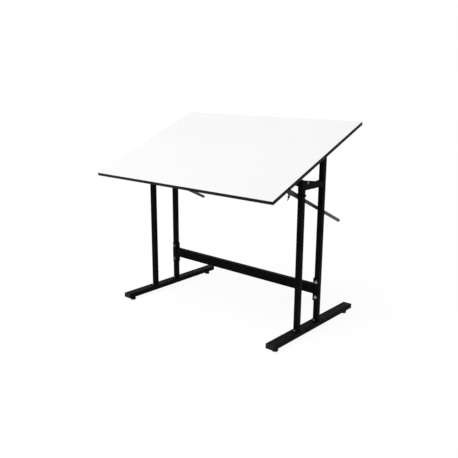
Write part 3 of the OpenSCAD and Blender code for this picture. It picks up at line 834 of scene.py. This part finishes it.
def make_board_welds():
    """Welds of the hinge and strut brackets to the steel strips."""
    bm = bmesh.new()
    basis = Matrix((X_AXIS, board_back, board_up)).transposed()
    for name in SIDES:
        under = min(low.z for low, high in solids("board_rail_" + name, basis))
        for node in ("hinge_bracket_", "strut_bracket_"):
            low, high = solids(node + name, basis)[0]
            for x in (low.x, high.x):
                ends = [basis @ Vector((x, y, under - 0.0002)) for y in (low.y + 0.002, high.y - 0.002)]
                bead(bm, ends, -board_up, 0.0017)
    piece("board_welds", bm, "board", "black_paint", smooth=70)


SLEEVE_RADIUS = 0.012
# Distance of the rods' axes below the sleeves' swivels
ROD_DROP = 0.0072
# The swivel plate meets the sleeve along two lines, this far round it from its outer side
PLATE_ANGLE = math.radians(32)
PLATE_HALF = 0.012
BOSS_WELD_RADIUS = 0.0077


def make_sleeve_welds():
    """Welds of the swivel plates and screw bosses to the sleeves."""
    for name, side in SIDES.items():
        swivel = Vector(JOINTS["sleeve_%s_swivel" % name]["pos_m"])
        wing = Vector(JOINTS["wing_%s_turn" % name]["pos_m"])
        bm = bmesh.new()
        center = Vector((wing.x, swivel.y, swivel.z)) - rod_up * ROD_DROP
        out = Vector((side * SLEEVE_RADIUS * math.cos(PLATE_ANGLE), 0, 0))
        for lean in (-1, 1):
            edge = center + (out + rod_up * lean * SLEEVE_RADIUS * math.sin(PLATE_ANGLE))
            bead(bm, [edge - rod_back * PLATE_HALF, edge + rod_back * PLATE_HALF], rod_up, 0.0014)
        loop = []
        for i in range(24):
            angle = 2 * math.pi * i / 24
            across = BOSS_WELD_RADIUS * math.cos(angle)
            back = BOSS_WELD_RADIUS * math.sin(angle)
            depth = math.sqrt(SLEEVE_RADIUS ** 2 - across ** 2)
            loop.append(wing + Vector((across, 0, 0)) + rod_back * back - rod_up * depth)
        bead(bm, loop, rod_up, 0.0011, closed=True)
        piece("sleeve_welds_" + name, bm, "sleeve_" + name, "rod_grey", smooth=70)


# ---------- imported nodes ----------

# Width of the broken edges in each slot
SOFT_EDGES = {"black_paint": 0.0007, "black_plastic": 0.0008, "edge_band": 0.0004,
              "white_laminate": 0.00012, "chipboard": 0.0001, "zinc": 0.0003, "dark_zinc": 0.0003,
              "rod_grey": 0.0006}


def finish_cad_nodes():
    """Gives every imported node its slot's material, and breaks its hard edges a little."""
    for name, node in NODES.items():
        slot = SLOT_OF[name]
        node.data.materials.clear()
        node.data.materials.append(MATERIALS[slot])
        weld = node.modifiers.new("weld", "WELD")
        weld.merge_threshold = 0.00002
        flat = node.modifiers.new("flat_faces", "DECIMATE")
        flat.decimate_type = "DISSOLVE"
        flat.angle_limit = math.radians(0.5)
        soft = node.modifiers.new("soft_edges", "BEVEL")
        soft.width = SOFT_EDGES[slot]
        soft.segments = 2
        soft.limit_method = "ANGLE"
        soft.angle_limit = math.radians(38)
        soft.harden_normals = True


make_arm_fasteners()
make_beam_fasteners()
make_screws()
make_pivot_fasteners()
make_swivel_nuts()
make_levellers()
make_wing_screws()
make_stop_collars()
make_frame_welds()
make_board_welds()
make_sleeve_welds()
finish_cad_nodes()


# ---------- camera, light, floor ----------

CAMERA_TARGET = Vector((-0.0020, -0.0014, 0.4664))
CAMERA_AZIMUTH = math.radians(40.67)
CAMERA_ELEVATION = math.radians(14.13)
CAMERA_ROLL = math.radians(0.34)
CAMERA_DISTANCE = 3.2306
CAMERA_LENS = 46.0


def make_camera():
    """The camera looks at its target from an azimuth and an elevation, with a slight roll."""
    back = Vector((math.sin(CAMERA_AZIMUTH) * math.cos(CAMERA_ELEVATION),
                   -math.cos(CAMERA_AZIMUTH) * math.cos(CAMERA_ELEVATION),
                   math.sin(CAMERA_ELEVATION)))
    data = bpy.data.cameras.new("camera")
    data.lens = CAMERA_LENS
    data.sensor_width = 36.0
    camera = bpy.data.objects.new("camera", data)
    bpy.context.scene.collection.objects.link(camera)
    facing = (-back).to_track_quat("-Z", "Y").to_matrix().to_4x4()
    spot = Matrix.Translation(CAMERA_TARGET + back * CAMERA_DISTANCE)
    camera.matrix_world = spot @ facing @ Matrix.Rotation(CAMERA_ROLL, 4, "Z")
    bpy.context.scene.camera = camera


def add_light(name, kind, strength, spot, target):
    """A lamp at a spot, turned to a target."""
    data = bpy.data.lights.new(name, kind)
    data.energy = strength
    light = bpy.data.objects.new(name, data)
    bpy.context.scene.collection.objects.link(light)
    light.location = spot
    light.rotation_mode = "QUATERNION"
    light.rotation_quaternion = (Vector(target) - Vector(spot)).to_track_quat("-Z", "Y")
    return data


def make_lights():
    """Soft, even light, with a weak softbox in front that fades towards the back of the worktop."""
    key = add_light("key", "SUN", 1.66, (-0.3, -2.0, 4.5), (0, 0, 0))
    key.angle = math.radians(35)
    softbox = add_light("softbox", "AREA", 26.0, (-0.8, -2.8, 3.2), (0, -0.1, 0.8))
    softbox.shape = "DISK"
    softbox.size = 2.0


def seen_directly(tree):
    """1 for camera, glossy and transmission rays, otherwise 0."""
    rays = add_node(tree, "ShaderNodeLightPath").outputs
    largest = {"operation": "MAXIMUM"}
    both = add_node(tree, "ShaderNodeMath", largest, i0=rays["Is Camera Ray"], i1=rays["Is Glossy Ray"])
    seen = add_node(tree, "ShaderNodeMath", largest, i0=both.outputs[0], i1=rays["Is Transmission Ray"])
    return seen.outputs[0]


WHITE = (1, 1, 1, 1)


def make_world(strength):
    """Soft studio surround that the camera and reflections see as white."""
    world = bpy.data.worlds.new("studio")
    bpy.context.scene.world = world
    world.use_nodes = True
    tree = world.node_tree
    tree.nodes.clear()
    seen = add_node(tree, "ShaderNodeBackground", Color=WHITE, Strength=1.0)
    lit = add_node(tree, "ShaderNodeBackground", Color=WHITE, Strength=strength)
    mix = add_node(tree, "ShaderNodeMixShader", Fac=seen_directly(tree), i1=lit.outputs[0],
                   i2=seen.outputs[0])
    add_node(tree, "ShaderNodeOutputWorld", Surface=mix.outputs[0])


def make_floor(size, glow_share):
    """White floor: it glows where it is seen directly, and keeps the object's soft shadow."""
    material, tree, shader = new_material("floor", Roughness=1.0, Specular_IOR_Level=0.0)
    shader.inputs["Base Color"].default_value = (0.86, 0.86, 0.86, 1)
    glow = add_node(tree, "ShaderNodeEmission", Color=WHITE, Strength=1.035)
    share = add_node(tree, "ShaderNodeMath", {"operation": "MULTIPLY"}, i0=seen_directly(tree),
                     i1=glow_share)
    mix = add_node(tree, "ShaderNodeMixShader", Fac=share.outputs[0], i1=shader.outputs[0],
                   i2=glow.outputs[0])
    tree.links.new(mix.outputs[0], tree.nodes["Material Output"].inputs["Surface"])
    mesh = bpy.data.meshes.new("floor")
    h = size / 2
    mesh.from_pydata([(-h, -h, 0), (h, -h, 0), (h, h, 0), (-h, h, 0)], [], [(0, 1, 2, 3)])
    mesh.materials.append(material)
    floor = bpy.data.objects.new("floor", mesh)
    floor.location = (0, 0, -0.0005)
    bpy.context.scene.collection.objects.link(floor)


make_camera()
make_world(0.35)
make_floor(200.0, 0.9)
make_lights()
bpy.context.scene.view_settings.view_transform = "Standard"
